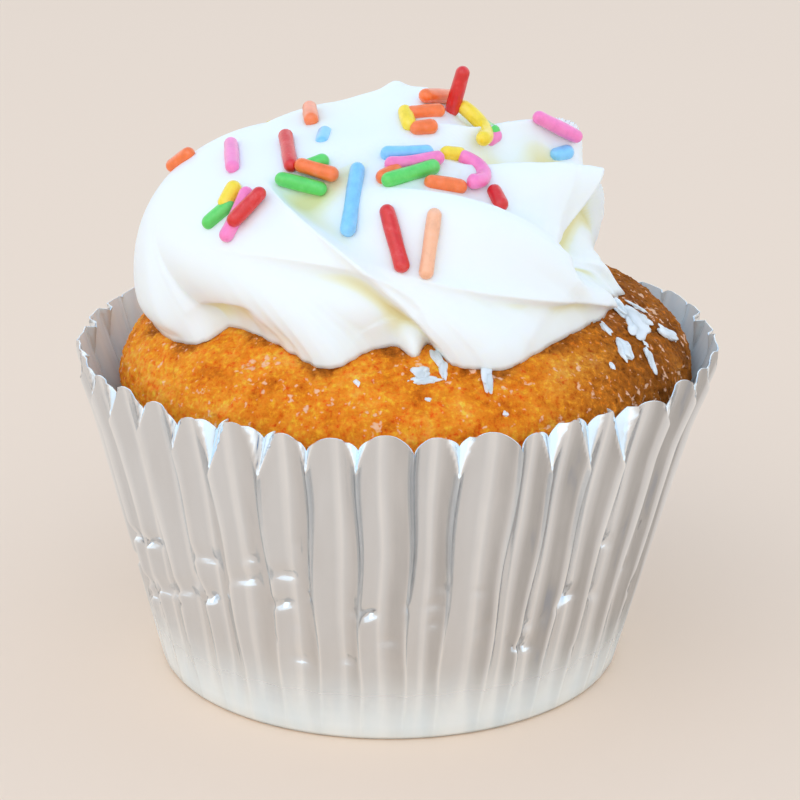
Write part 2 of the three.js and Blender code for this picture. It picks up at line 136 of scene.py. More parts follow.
def bumpChain(nodes, links, shader, layers):
    # layers of (height, strength, depth in mm), one bump feeding the next
    normal = None
    for height, strength, depth in layers:
        bump = nodes.new("ShaderNodeBump")
        bump.inputs["Strength"].default_value = strength
        bump.inputs["Distance"].default_value = depth * mm
        links.new(height, bump.inputs["Height"])
        if normal:
            links.new(normal, bump.inputs["Normal"])
        normal = bump.outputs["Normal"]
    links.new(normal, shader.inputs["Normal"])


def makeFoilMaterial():
    material, nodes, links, shader, coords = newMaterial("foil")
    # the foil's base colour comes from painted reflections and painted shade stored on the mesh
    paintedLightBand = nodes.new("ShaderNodeAttribute")
    paintedLightBand.attribute_name = "paintedLightBand"
    streaks = noiseNode(nodes, links, coords, 420.0, 3.0, stretch=(1.0, 1.0, 0.12))
    blend = nodes.new("ShaderNodeMix")
    blend.inputs["Factor"].default_value = 0.22
    links.new(paintedLightBand.outputs["Fac"], blend.inputs["A"])
    links.new(streaks, blend.inputs["B"])
    tone = rampNode(nodes, links, blend.outputs["Result"],
                    [(0.11, (0.10, 0.20, 0.38)), (0.22, (0.50, 0.51, 0.52)), (0.38, (0.68, 0.70, 0.72)),
                     (0.55, (0.75, 0.79, 0.83)), (0.78, (0.93, 0.97, 1.0)), (0.88, (0.74, 0.88, 1.0))])
    # the duller, brighter colour of the paper lining, also used as a painted floor reflection on the outside
    # of the foot
    liningAndPaintedFoot = nodes.new("ShaderNodeAttribute")
    liningAndPaintedFoot.attribute_name = "liningAndPaintedFoot"
    paint = nodes.new("ShaderNodeMix")
    paint.data_type = "RGBA"
    links.new(liningAndPaintedFoot.outputs["Fac"], paint.inputs["Factor"])
    links.new(tone, paint.inputs["A"])
    dull = rampNode(nodes, links, streaks, [(0.35, (0.76, 0.92, 1.0)), (0.60, (0.86, 0.97, 1.0))])
    links.new(dull, paint.inputs["B"])
    links.new(paint.outputs["Result"], shader.inputs["Base Color"])
    gloss = noiseNode(nodes, links, coords, 260.0, 4.0)
    ranges = [("Roughness", 0.12, 0.30, gloss), ("Metallic", 1.0, 0.05, liningAndPaintedFoot.outputs["Fac"])]
    for socket, low, high, source in ranges:
        scale = nodes.new("ShaderNodeMapRange")
        scale.inputs["To Min"].default_value = low
        scale.inputs["To Max"].default_value = high
        links.new(source, scale.inputs["Value"])
        links.new(scale.outputs["Result"], shader.inputs[socket])
    fine = noiseNode(nodes, links, coords, 1400.0, 3.0)
    broad = noiseNode(nodes, links, coords, 240.0, 3.0, stretch=(1.0, 1.0, 0.3))
    bumpChain(nodes, links, shader, [(broad, 0.25, 0.3), (fine, 0.08, 0.06)])
    return material


def makeCrumbMaterial():
    material, nodes, links, shader, coords = newMaterial("cake crumb")
    patches = noiseNode(nodes, links, coords, 170.0, 8.0, 0.68)
    golden = rampNode(nodes, links, patches, [(0.30, (0.54, 0.125, 0.006)), (0.43, (0.83, 0.225, 0.012)),
                                              (0.55, (0.96, 0.32, 0.025)), (0.70, (1.0, 0.46, 0.08))])
    shadedBrown = rampNode(nodes, links, patches, [(0.30, (0.18, 0.050, 0.004)), (0.55, (0.36, 0.105, 0.009)),
                                             (0.78, (0.58, 0.22, 0.035))])
    # painted shade: the crust turns from golden on the left to darker brown on the right, as if lit from the
    # left
    split = nodes.new("ShaderNodeSeparateXYZ")
    links.new(coords, split.inputs["Vector"])
    side = nodes.new("ShaderNodeMapRange")
    side.interpolation_type = "SMOOTHSTEP"
    side.inputs["From Min"].default_value = 11 * mm
    side.inputs["From Max"].default_value = 28 * mm
    links.new(split.outputs["X"], side.inputs["Value"])
    blend = nodes.new("ShaderNodeMix")
    blend.data_type = "RGBA"
    links.new(side.outputs["Result"], blend.inputs["Factor"])
    links.new(golden, blend.inputs["A"])
    links.new(shadedBrown, blend.inputs["B"])
    # a darker ring under the buttercream edge: painted shade, partly toasted brown
    toastAndShade = nodes.new("ShaderNodeAttribute")
    toastAndShade.attribute_name = "toastAndShade"
    bakedAndShaded = nodes.new("ShaderNodeMix")
    bakedAndShaded.data_type = "RGBA"
    links.new(toastAndShade.outputs["Fac"], bakedAndShaded.inputs["Factor"])
    links.new(blend.outputs["Result"], bakedAndShaded.inputs["A"])
    links.new(rampNode(nodes, links, patches, [(0.35, (0.16, 0.035, 0.004)), (0.65, (0.42, 0.12, 0.015))]),
              bakedAndShaded.inputs["B"])
    specks = noiseNode(nodes, links, coords, 1500.0, 4.0, 0.65)
    grainTone = rampNode(nodes, links, specks, [(0.30, (0.14, 0.10, 0.08)), (0.44, (0.46, 0.45, 0.44)),
                                                (0.55, (0.56, 0.56, 0.56)), (0.66, (0.97, 0.94, 0.90))])
    overlay = nodes.new("ShaderNodeMix")
    overlay.data_type = "RGBA"
    overlay.blend_type = "OVERLAY"
    overlay.inputs["Factor"].default_value = 0.8
    links.new(bakedAndShaded.outputs["Result"], overlay.inputs["A"])
    links.new(grainTone, overlay.inputs["B"])
    # painted glints: pale specks where sugar crystals would catch the light
    sugar = noiseNode(nodes, links, coords, 1150.0, 2.0, 0.5)
    where = noiseNode(nodes, links, coords, 210.0, 2.0)
    crystals = nodes.new("ShaderNodeMath")
    crystals.operation = "MULTIPLY_ADD"
    crystals.inputs[1].default_value = 0.45
    links.new(where, crystals.inputs[0])
    links.new(sugar, crystals.inputs[2])
    sparkle = nodes.new("ShaderNodeMapRange")
    sparkle.inputs["From Min"].default_value = 0.87
    sparkle.inputs["From Max"].default_value = 0.94
    sparkle.inputs["To Max"].default_value = 0.75
    links.new(crystals.outputs["Value"], sparkle.inputs["Value"])
    paintedGlints = nodes.new("ShaderNodeMix")
    paintedGlints.data_type = "RGBA"
    links.new(sparkle.outputs["Result"], paintedGlints.inputs["Factor"])
    links.new(overlay.outputs["Result"], paintedGlints.inputs["A"])
    paintedGlints.inputs["B"].default_value = (1.0, 0.62, 0.42, 1.0)
    links.new(paintedGlints.outputs["Result"], shader.inputs["Base Color"])
    shader.inputs["Roughness"].default_value = 0.7
    shader.inputs["Specular IOR Level"].default_value = 0.07
    shader.inputs["Subsurface Weight"].default_value = 0.12
    shader.inputs["Subsurface Radius"].default_value = (1.0, 0.45, 0.2)
    shader.inputs["Subsurface Scale"].default_value = 1.5 * mm
    pits = nodes.new("ShaderNodeTexVoronoi")
    pits.inputs["Scale"].default_value = 900.0
    links.new(coords, pits.inputs["Vector"])
    grain = noiseNode(nodes, links, coords, 1700.0, 5.0, 0.7)
    coarse = noiseNode(nodes, links, coords, 520.0, 4.0, 0.6)
    bumpChain(nodes, links, shader, [(coarse, 0.8, 0.5), (pits.outputs["Distance"], 0.6, 0.35),
                                     (grain, 0.8, 0.3)])
    return material


def makeCreamMaterial(name="buttercream"):
    material, nodes, links, shader, coords = newMaterial(name)
    # painted shade and light: hollows get a cream-yellow shade, crests a bluish-white sky highlight
    shade = nodes.new("ShaderNodeAttribute")
    shade.attribute_name = "paintedValleyShade"
    drift = noiseNode(nodes, links, coords, 110.0, 2.0)
    blend = nodes.new("ShaderNodeMix")
    blend.inputs["Factor"].default_value = 0.12
    links.new(shade.outputs["Fac"], blend.inputs["A"])
    links.new(drift, blend.inputs["B"])
    tone = rampNode(nodes, links, blend.outputs["Result"],
                    [(0.40, (0.89, 0.94, 0.95)), (0.53, (0.87, 0.925, 0.89)),
                     (0.64, (0.86, 0.87, 0.66)), (0.85, (0.82, 0.77, 0.42))])
    links.new(tone, shader.inputs["Base Color"])
    shader.inputs["Roughness"].default_value = 0.42
    shader.inputs["Subsurface Weight"].default_value = 0.35
    shader.inputs["Subsurface Radius"].default_value = (1.0, 0.9, 0.7)
    shader.inputs["Subsurface Scale"].default_value = 1.6 * mm
    soft = noiseNode(nodes, links, coords, 150.0, 3.0)
    fine = noiseNode(nodes, links, coords, 1500.0, 3.0)
    bumpChain(nodes, links, shader, [(soft, 0.10, 0.5), (fine, 0.06, 0.06)])
    return material


def makeCandyMaterial(name, colour):
    material, nodes, links, shader, coords = newMaterial(name)
    pale = [mix(channel, 0.9, 0.07) for channel in colour]
    deep = [channel * 0.90 for channel in colour]
    patches = noiseNode(nodes, links, coords, 900.0, 4.0, 0.6)
    links.new(rampNode(nodes, links, patches, [(0.35, deep), (0.52, colour), (0.72, pale)]),
              shader.inputs["Base Color"])
    shader.inputs["Roughness"].default_value = 0.3
    shader.inputs["Coat Weight"].default_value = 0.35
    shader.inputs["Coat Roughness"].default_value = 0.12
    shader.inputs["Subsurface Weight"].default_value = 0.15
    shader.inputs["Subsurface Radius"].default_value = (1.0, 1.0, 1.0)
    shader.inputs["Subsurface Scale"].default_value = 0.5 * mm
    pits = noiseNode(nodes, links, coords, 2600.0, 3.0)
    bumpChain(nodes, links, shader, [(pits, 0.25, 0.08)])
    return material


# the foil case

foilCase = {
    "baseRadius": 25.8,
    "rimRadius": 35.0,
    "height": 35.6,
    "pleats": 40,
    "pleatDepth": 1.8,
    "panelRise": 1.5,
    "columnsPerPleat": 16,
    "thickness": 0.12,
    "ridgeWidth": 0.04,        # share of a pleat over which a ridge falls away
    "baseShift": -0.8,         # the foot stands a little to the left of the rim
    "dentCount": 150,
    "backFrom": 58.0,          # beyond this azimuth the rim is higher and shallower
    "backRise": 0.9,
    "flare": 0.55,             # how far the rim is pulled out at both sides
    "flareRight": 0.15,
    "edgeSoftness": 0.07,
    "wander": 0.35,            # degrees that a ridge strays on its way up
    "crease": 0.07,
    "panelExponent": 0.7,      # roundness of the arch that ends a panel
    "backShallow": 0.45,       # how much shallower the pleats are at the back
    "randomSeed": 7,
}

# how strong the painted reflections and painted shade are that the foil material reads: a light reflection
# band, a shaded half, bright ridge lines and a brighter foot
foilPaintedLight = {
    "light": 0.30,
    "lightWidth": 0.075,
    "dark": 0.42,
    "ridge": 0.35,
    "ridgeWidth": 0.03,
    "foot": 0.4,
    "footHeight": 9.0,
}

# how each ridge is pressed flat at the rim: depth, length, and sideways tilt of the flat
pressedTips = {
    31: (1.6, 2.4, -0.3),
    32: (1.5, 2.6, -0.3),
    33: (1.9, 3.2, -0.25),
    34: (1.7, 2.8, -0.3),
    35: (1.8, 3.0, -0.25),
    36: (2.8, 4.8, -0.2),
    37: (2.5, 4.3, -0.2),
    38: (1.6, 2.8, 0.15),
    39: (1.9, 2.8, 0.2),
    0: (0.3, 0.5, 0),
    1: (2.2, 3.8, -0.15),
    2: (0.3, 0.5, 0),
    3: (2.4, 4.0, -0.25),
    4: (2.6, 4.6, 0.1),
    5: (3.1, 5.2, 0.05),
    6: (1.2, 2.2, 0.2),
    7: (1.0, 2.0, 0.2),
    8: (1.2, 2.0, 0.2),
}

# ridges that stand off the even spacing
ridgePlaces = {
    34: -51.5,
    35: -42.2,
    36: -34.1,
    37: -24.4,
    38: -15.4,
    39: -6.3,
    0: 3.3,
    1: 10.8,
    2: 21.5,
    3: 28.3,
    4: 36.2,
    5: 44.6,
}

# dents: azimuth, height, width, how deep
dents = [
    (-70.9, 17.1, 3.0, 0.7),
    (-60.2, 18.1, 3.4, 0.6),
    (-40.4, 19.7, 4.0, 0.5),
    (-29.2, 21.1, 2.2, 0.5),
    (-62.8, 12.2, 4.5, 0.55),
    (-56.0, 12.6, 4.0, 0.55),
    (-50.0, 14.1, 4.0, 0.5),
    (-44.0, 15.7, 4.0, 0.5),
    (-30.8, 18.3, 4.0, 0.6),
    (-21.7, 19.9, 3.0, 0.6),
    (-22.8, 16.3, 3.0, 0.7),
    (-4.5, 15.9, 2.2, 0.8),
    (0.2, 12.7, 1.4, 0.5),
    (-19.7, 9.5, 3.0, 0.5),
    (-9.3, 10.1, 2.0, 0.5),
    (8.5, 17.0, 1.8, 0.4),
    (8.7, 14.7, 1.4, 0.4),
    (29.8, 10.1, 4.0, 0.7),
    (39.5, 14.7, 3.8, 0.8),
    (48.5, 13.7, 3.0, 0.5),
    (49.1, 19.9, 3.0, 0.7),
    (-41.3, 14.7, 2.0, 0.9),
    (59.3, 15.2, 1.8, 0.8),
]


def ridgeAzimuth(pleat):
    if pleat in ridgePlaces:
        return ridgePlaces[pleat] % 360.0
    return 360.0 / foilCase["pleats"] * (pleat + 0.18 + 0.1 * uneven(pleat % foilCase["pleats"], 1))


def pressedTip(number):
    if number in pressedTips:
        return pressedTips[number]
    amount = 0.5 + 0.5 * uneven(number, 3)
    return 0.5 + 1.9 * amount ** 2, 1.4 + 3.4 * amount, 0.2 * uneven(number, 6)


def makeFoilCase(material):
    size = foilCase
    wall = np.concatenate([np.linspace(0.6, 8.0, 7), np.arange(8.8, 21.8, 0.4), np.linspace(22.4, 28.8, 7),
                           np.linspace(29.4, size["height"], 22)])
    floorRadii = [0.0, 12.0, 21.0, size["baseRadius"] - 0.7]
    profile = [(radius, 0.0) for radius in floorRadii] + [(size["baseRadius"] - 0.2, 0.15)]
    profile += [(mix(size["baseRadius"], size["rimRadius"], z / size["height"]), z) for z in wall]
    bm = spunProfile(profile, size["pleats"] * size["columnsPerPleat"])
    points = readPoints(bm)
    azimuth = np.degrees(np.arctan2(points[:, 0], -points[:, 1])) % 360.0
    radius = np.hypot(points[:, 0], points[:, 1])
    z = points[:, 2].copy()

    pleats = size["pleats"]
    turn = azimuth / 360.0 * pleats
    pleat = np.floor(turn + 1e-6).astype(int) % pleats
    along = np.clip(turn - np.floor(turn + 1e-6), 0.0, 1.0)
    along = along - 0.08 * np.sin(2 * np.pi * along)
    ridges = np.array([ridgeAzimuth(number) for number in range(pleats + 1)])
    ridges[pleats] = ridges[0] + 360.0
    wander = size["wander"] * np.sin(0.33 * z[:, None] + 2.1 * np.arange(pleats + 1))
    wander = wander * smooth(z / 9.0)[:, None]
    wander[:, pleats] = wander[:, 0]
    every = np.arange(len(z))
    azimuth = mix(ridges[pleat] + wander[every, pleat], ridges[pleat + 1] + wander[every, pleat + 1], along)
    pitch = np.radians(ridges[pleat + 1] - ridges[pleat])

    # how far a place is from its nearest ridge, and which ridge that is
    fromRidge = np.minimum(along, 1.0 - along)
    nearest = np.where(along < 0.5, pleat, (pleat + 1) % pleats)
    up = np.clip(z / size["height"], 0, 1)
    width = size["ridgeWidth"] * (1 + 0.3 * np.sin(2.9 * nearest))
    crisp = 0.12 + 0.33 * smooth((z - 5.0) / 20.0)
    fold = crisp * (1 - np.exp(-fromRidge / width)) + (1 - crisp) * np.sin(np.pi * fromRidge)
    back = smooth((np.abs((azimuth + 180) % 360 - 180) - size["backFrom"]) / 30)
    depth = size["pleatDepth"] * up ** 0.8 * (1 + 0.1 * np.sin(1.3 * pleat + 2.0))
    depth = depth * (1 - size["backShallow"] * back * smooth((z - 27.0) / 7.0))
    ridge = mix(size["baseRadius"], size["rimRadius"], up)
    new = ridge - depth * fold

    # the pressed ridge tips are small planes that lean in towards the rim
    tips = np.array([pressedTip(number) for number in range(pleats)])
    push, length, tilt = tips[nearest].T
    climb = np.clip(1 - (size["height"] - z) / length, 0, 1)
    across = np.where(along < 0.5, along, along - 1.0) * pitch * ridge
    plane = ridge - push * climb + tilt * across
    reach = 0.72 * push * climb
    inside = smooth((reach - np.abs(across)) / 0.5)
    soft = size["edgeSoftness"]
    lower = np.minimum(new, plane)
    rounded = lower - soft * np.log1p(np.exp(-np.abs(new - plane) / soft))
    # the pressed tips are painted bright as sky reflections, and some get a painted dark reflection streak
    paintedFacetGlint = inside * smooth((new - plane) / 0.3 + 0.4)
    streak = inside * np.exp(-((across + 0.3 * reach) / (0.13 * reach + 0.05)) ** 2)
    streak = streak * (np.sin(2.2 * nearest + 1.1) > 0)
    new = mix(new, rounded, inside)

    # small creases along the panels
    crease = size["crease"] * np.sin(azimuth * 1.9 + 0.25 * z) * np.sin(azimuth * 0.73)
    crease = crease * smooth(z / 8.0)
    new = new + crease * np.clip(fromRidge / 0.2, 0, 1)

    # each dent is a short sideways kink: a lower face that looks up and a longer one above it
    rng = random.Random(size["randomSeed"])
    rows = list(dents)
    while len(rows) < size["dentCount"]:
        side = rng.uniform(-180, 180)
        front = abs(side) < 65
        reach = rng.uniform(0.5, 1.3) if front else rng.uniform(1.0, 3.4)
        rows.append((side, rng.triangular(4, 25, 13), reach, rng.uniform(0.2, 0.4) if front else 0.6))
    for side, height, reach, deep in rows:
        offset = (((azimuth - side + 180) % 360) - 180) * np.pi / 180 * ridge
        upward = (z - height) - 0.25 * math.sin(side) * offset
        below = np.clip(1 + upward / 0.55, 0, 1)
        above = np.clip(1 - upward / (0.5 + 0.35 * reach), 0, 1)
        push = np.minimum(below, above) * np.clip(1 - (np.abs(offset) / (0.55 * reach)) ** 2, 0, 1)
        new = new - deep * push

    # the rim: each panel ends in a round arch between two ridge tips
    nearRim = smooth((z - size["height"] + 7.0) / 7.0)
    arch = np.clip(4 * along * (1 - along), 0, 1) ** size["panelExponent"]
    rise = size["panelRise"] * arch * (1 + 0.25 * np.sin(2.3 * pleat))
    rise = rise + 0.3 * np.sin(2.1 * nearest) * (1 - arch)
    rise = rise * (1 - 0.55 * back) + size["backRise"] * back
    z = z + rise * nearRim
    new = new + (size["rimRadius"] - size["baseRadius"]) / size["height"] * rise * nearRim
    sideways = np.sin(np.radians(azimuth))
    new = new + (size["flare"] * sideways ** 2 + size["flareRight"] * sideways) * nearRim

    onWall = readPoints(bm)[:, 2] > 0.3
    radius = np.where(onWall, new, radius)
    angle = np.radians(azimuth)
    shift = size["baseShift"] * np.clip(1 - z / size["height"], 0, 1)
    writePoints(bm, np.stack([radius * np.sin(angle) + shift, -radius * np.cos(angle), z], axis=1))

    # painted light in the foil's colour: one painted reflection band to a panel, painted shade over its
    # right half (stronger on the right of the case), a painted highlight on each ridge, and a brighter foot
    # that stands in for the reflected floor
    centre = 0.46 + 0.10 * np.sin(1.7 * pleat)
    contrast = 0.55 + 0.45 * np.sin(np.radians(azimuth)) * (np.cos(np.radians(azimuth)) > -0.4)
    paintedLightBand = 0.5 + foilPaintedLight["light"] * np.exp(-((along - centre) / foilPaintedLight["lightWidth"]) ** 2)
    shadow = foilPaintedLight["dark"] * contrast * smooth((along - centre) / 0.3)
    paintedLightBand = paintedLightBand - shadow * smooth((1 - along) / 0.1)
    paintedLightBand = paintedLightBand + foilPaintedLight["ridge"] * np.exp(-(fromRidge / foilPaintedLight["ridgeWidth"]) ** 2)
    paintedLightBand = paintedLightBand + foilPaintedLight["foot"] * smooth((foilPaintedLight["footHeight"] - z) / foilPaintedLight["footHeight"])
    paintedLightBand = mix(mix(np.clip(paintedLightBand, 0.16, 0.82), 1.0, paintedFacetGlint), 0.0, streak)
    tint = bm.verts.layers.float.new("paintedLightBand")
    for vert, value in zip(bm.verts, paintedLightBand):
        vert[tint] = value

    bmesh.ops.recalc_face_normals(bm, faces=bm.faces)
    bmesh.ops.solidify(bm, geom=bm.faces[:], thickness=size["thickness"] * mm)
    bmesh.ops.recalc_face_normals(bm, faces=bm.faces)
    bm.normal_update()
    # inside faces get the paper lining; the outside of the foot gets the same colour as a painted reflection
    # of the floor
    liningAndPaintedFoot = bm.verts.layers.float.new("liningAndPaintedFoot")
    for vert in bm.verts:
        outward = Vector((vert.co.x, vert.co.y, 0)).normalized() - Vector((0, 0, 0.3))
        low = 1 - vert.co.z / mm / 11.0
        vert[liningAndPaintedFoot] = 1.0 if vert.normal.dot(outward) < 0 else 0.6 * float(smooth(low))
    piece = meshObject(bm, "foilCase", material)
    piece.data.set_sharp_from_angle(angle=math.radians(55))
    return piece


# the cake

cake = {
    "domeRadius": 31.5,
    "domeSpring": 33.4,
    "domeRise": 12.6,
    "domeFullness": 2.5,
    "domeShift": 1.2,          # the dome has risen a little to the right
    "steps": 720,
    "crustRows": 100,
    "gap": 0.3,
    "lumps": 0.25,             # relief of the crust, from its broadest forms to its finest
    "pits": 0.9,
    "crumbs": 0.2,
    "toastAndShadeStrength": 0.75,
}


def domeHeight(radius):
    share = np.clip(1 - (radius / cake["domeRadius"]) ** cake["domeFullness"], 0, None)
    return cake["domeSpring"] + cake["domeRise"] * np.sqrt(share)


def crustHeight(x, y):
    return domeHeight(np.hypot(x - cake["domeShift"], y))


def makeCake(material):
    crust = mix(15.0, cake["domeRadius"], 1 - (1 - np.linspace(0, 1, cake["crustRows"])) ** 1.5)
    side = [(24.3, 0.65), (26.2, 12.0), (28.4, 24.0), (30.4, 31.5)]
    profile = [(0.0, 0.65)] + side + [(r, float(domeHeight(r))) for r in crust[::-1]]
    profile += [(r, float(domeHeight(r))) for r in (12.0, 8.0, 4.0, 0.0)]
    bm = spunProfile(profile, cake["steps"])
    points = readPoints(bm)
    radius = np.hypot(points[:, 0], points[:, 1])
    bare = np.clip((radius - 17.0) / 4.0, 0, 1) * (points[:, 2] > 31.6)
    relief = np.zeros(len(points))
    for index, (point, shown) in enumerate(zip(points, bare)):
        if shown > 0:
            place = Vector(point)
            lumps = noise.noise(place * 0.16)
            pits = min(0.0, noise.noise(place * 0.6 + Vector((5, 2, 9))) + 0.22)
            crumbs = noise.fractal(place * 1.5, 0.8, 2.0, 3)
            depth = cake["lumps"] * lumps + cake["pits"] * pits + cake["crumbs"] * crumbs
            relief[index] = shown * depth
    outward = points - np.array([0, 0, 20])
    outward /= np.linalg.norm(outward, axis=1, keepdims=True)
    points = points + outward * relief[:, None]
    points[:, 0] += cake["domeShift"] * smooth((points[:, 2] - 27.0) / 8.0)
    writePoints(bm, points)
    bmesh.ops.recalc_face_normals(bm, faces=bm.faces)
    piece = meshObject(bm, "cakeCrumb", material)

    # painted shade with some toasted crust: the crust is darkened in a ring where it runs in under the
    # buttercream
    east = points[:, 0] - swirlSize["shift"]
    azimuth = np.degrees(np.arctan2(east, -points[:, 1]))
    outside = np.hypot(east, points[:, 1]) - footRadius(azimuth)
    ring = smooth((1.0 + 0.7 * np.sin(0.31 * azimuth) - outside) / 1.5) * (radius > 12)
    ring = cake["toastAndShadeStrength"] * ring
    layer = piece.data.attributes.new("toastAndShade", "FLOAT", "POINT")
    layer.data.foreach_set("value", ring)
    return piece


# the buttercream swirl

swirlSize = {
    "shift": -1.8,
    "radius": 25.2,
    "leftSwell": 2.3,
    "foot": 41.4,
    "height": 20.3,
    "squareness": 2.6,
    "turn": 80.0,
    "turnAtTop": 50.0,
    "columns": 440,
    "rows": 200,
    "seatGap": 0.0,
    "rowBlur": 9,
    "columnBlur": 5,
    # how strong the painted valley shade is
    "valleyShadeDepth": 0.5,
    "rightSideShade": 0.14,           # painted shade: the folds on the right are tinted darker and yellower
    "lobeReach": 0.2,          # how far up a lobe of the foot is felt
    "hollowReach": 0.11,       # the same for a hollow at the front, and elsewhere
    "sideHollowReach": 0.045,
    "seatReach": 0.1,
}

# the small last turn on top: height, middle, spread, and two blobs
topTurn = {
    "rise": 2.4,
    "middle": (3.0, 2.0),
    "spread": (9.0, 8.0),
    "blobs": [(-0.1, 4.0), (8.9, 4.0)],
    "blobRise": 0.8,
    "blobRadius": 1.3,
}

# how far the foot reaches at each azimuth, about the middle of the swirl
footReach = [
    (-90, 26.2), (-82.3, 25.3), (-70.6, 25.0), (-62.2, 24.9), (-56.8, 24.6), (-52.5, 24.3),
    (-49.9, 23.7), (-49.3, 22.7), (-48.1, 21.4), (-43.1, 21.2), (-35.5, 21.6), (-28.3, 22.2),
    (-22.1, 23.3), (-17.5, 24.3), (-14.3, 24.9), (-11.4, 25.0), (-8.9, 24.8), (-6.4, 24.1),
    (-3.8, 23.3), (-1.1, 22.9), (4.7, 22.9), (13.7, 23.2), (15.3, 24.0), (16.0, 25.1),
    (17.4, 25.8), (19.7, 26.4), (22.1, 26.7), (25.2, 27.2), (27.7, 27.4), (32.1, 27.3),
    (37.4, 26.8), (44, 26.4), (49.7, 26.4), (56.8, 26.7), (66, 27.7), (71.5, 27.5), (74, 25.2),
    (77, 25.0), (81, 26.4), (86.2, 27.6), (92, 26.4), (98, 25.4), (108, 23.8), (118, 26.0),
    (130, 26.5), (142, 24.8), (150, 23.6), (162, 26.0), (178, 26.4), (192, 24.6), (200, 23.6),
    (212, 25.8), (230, 26.0), (246, 24.8), (256, 24.6),
]

# a torn bit of the foot that hangs further out than the rest
looseBit = {
    "azimuth": 9.0,
    "halfWidth": 2.9,
    "reach": 2.6,
    "climb": 0.04,
}

# each crest runs through three (azimuth, climb) points. up and down are the drops beside it,
# at its start and its end, and how far out they are deepest. lift raises the crest itself.
folds = [
    {"path": [(-44, 0.6), (-8, 0.31), (16, -0.02)],
     "up": (3, 0.2, 3), "down": (0, 1.7, 1.8), "fade": (0.2, 0)},
    {"path": [(-8, 0.33), (28, 0.165), (83, -0.03)],
     "up": (1.0, 0, 2.5), "down": (0, 1.5, 1.3), "fade": (0.5, 0)},
    {"path": [(-14, 0.64), (36, 0.44), (61, 0.07)],
     "up": (2.6, 1.8, 3), "down": (-0.8, -0.5, 4), "lift": (2.2, 0, 4), "fade": (0.5, 0.15)},
    {"path": [(50, 0.19), (66, 0.055), (90, -0.02)],
     "up": (1.8, 1.8, 2.6), "down": (0, 0, 1), "fade": (0.3, 0)},
    {"path": [(-56, 0.27), (-2, 0.25), (12, -0.02)],
     "up": (0, 0, 1), "down": (0.9, 0.8, 1.6), "fade": (0.4, 0.3)},
    {"path": [(-57, 0.05), (-44, 0.1), (-31, 0.11)],
     "up": (0, 0, 1), "down": (1.1, 1.1, 1.2), "fade": (0.3, 0.3)},
    {"path": [(28, 0.78), (63, 0.57), (83, 0.4)],
     "up": (2.6, 2.6, 3), "down": (0, 0, 3), "lift": (0.5, 3.8, 4), "fade": (0.45, 0)},
    {"path": [(89, 0.41), (72, 0.32), (50, 0.22)],
     "up": (4.2, 2.2, 2.1), "down": (0, 0, 1), "fade": (0.05, 0.3)},
    {"path": [(91, 0.34), (96, 0.29), (103, 0.22)],
     "up": (0, 0, 1), "down": (0, 0, 1), "lift": (1.2, 1.2, 3)},
    {"path": [(30, 0.9), (84, 0.7), (102, 0.5)],
     "up": (2, 2.5, 3), "down": (1.5, 1.8, 2.2), "lift": (0.5, 4.8, 3.5), "fade": (0.45, 0)},
    {"path": [(104, 0.72), (132, 0.42), (160, -0.03)],
     "up": (2.6, 1.2, 3), "down": (-0.6, -0.4, 4), "fade": (0.2, 0)},
    {"path": [(150, 0.74), (178, 0.42), (208, -0.03)],
     "up": (2.6, 1.2, 3), "down": (-0.6, -0.4, 4), "fade": (0.2, 0)},
    {"path": [(196, 0.74), (226, 0.42), (256, -0.03)],
     "up": (2.6, 1.2, 3), "down": (-0.4, -0.4, 4), "fade": (0.2, 0)},
]
foldSteps = 32


def swirlTurn(climb):
    return -(swirlSize["turn"] * climb + swirlSize["turnAtTop"] * climb ** 3)


def swirlReach(azimuth):
    left = np.clip(-np.sin(np.radians(azimuth)), 0, 1)
    return swirlSize["radius"] + swirlSize["leftSwell"] * left ** 2


def meanSwirl(azimuth, climb):
    angle = np.clip(climb, 0, 1) * np.pi / 2
    power = 2 / swirlSize["squareness"]
    radius = swirlReach(azimuth) * np.abs(np.cos(angle)) ** power
    z = swirlSize["foot"] + swirlSize["height"] * np.sin(angle) ** power + 30 * np.minimum(climb, 0)
    turned = np.radians(azimuth)
    return np.stack([swirlSize["shift"] + radius * np.sin(turned), -radius * np.cos(turned), z], axis=-1)


def unit(vectors):
    return vectors / np.maximum(np.linalg.norm(vectors, axis=-1, keepdims=True), 1e-9)


def meanNormal(azimuth, climb):
    east = meanSwirl(azimuth + 0.5, climb) - meanSwirl(azimuth - 0.5, climb)
    up = meanSwirl(azimuth, np.minimum(climb + 0.01, 1)) - meanSwirl(azimuth, np.maximum(climb - 0.01, 0))
    return unit(np.cross(east, up))


def footRadius(azimuth):
    places, reaches = np.array(footReach + [(footReach[0][0] + 360, footReach[0][1])]).T
    turned = (azimuth - places[0]) % 360 + places[0]
    right = np.clip(np.searchsorted(places, turned, side="right"), 1, len(places) - 1)
    along = (turned - places[right - 1]) / (places[right] - places[right - 1])
    return mix(reaches[right - 1], reaches[right], smooth(along))


